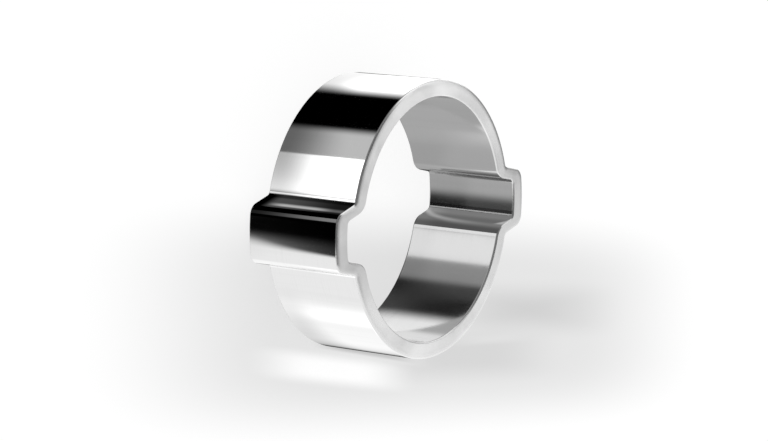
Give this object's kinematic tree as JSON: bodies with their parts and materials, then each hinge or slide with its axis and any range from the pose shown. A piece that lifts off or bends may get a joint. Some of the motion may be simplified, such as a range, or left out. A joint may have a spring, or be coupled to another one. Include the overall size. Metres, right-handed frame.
{
  "type": "ear hose clamp",
  "caption": "Plain steel band ring with a hollow ear on opposite sides; pinching the ears draws the ring in and clamps a hose onto a fitting.",
  "frame": {"origin": "on the bore axis, in the lower end face that the clamp lies on", "axes": "+Z along the bore axis, out of the upper end face; +X from the bore axis to the middle of an ear, the other ear being at -X; +Y square to both, along the smooth side of the ring"},
  "size_m": [0.0246, 0.0206, 0.0077],
  "materials": {
    "polished_steel": "bright plated steel, polished, lightly rounded edges"
  },
  "bodies": {
    "root": {"clamp_band": "polished_steel"}
  },
  "joints": []
}
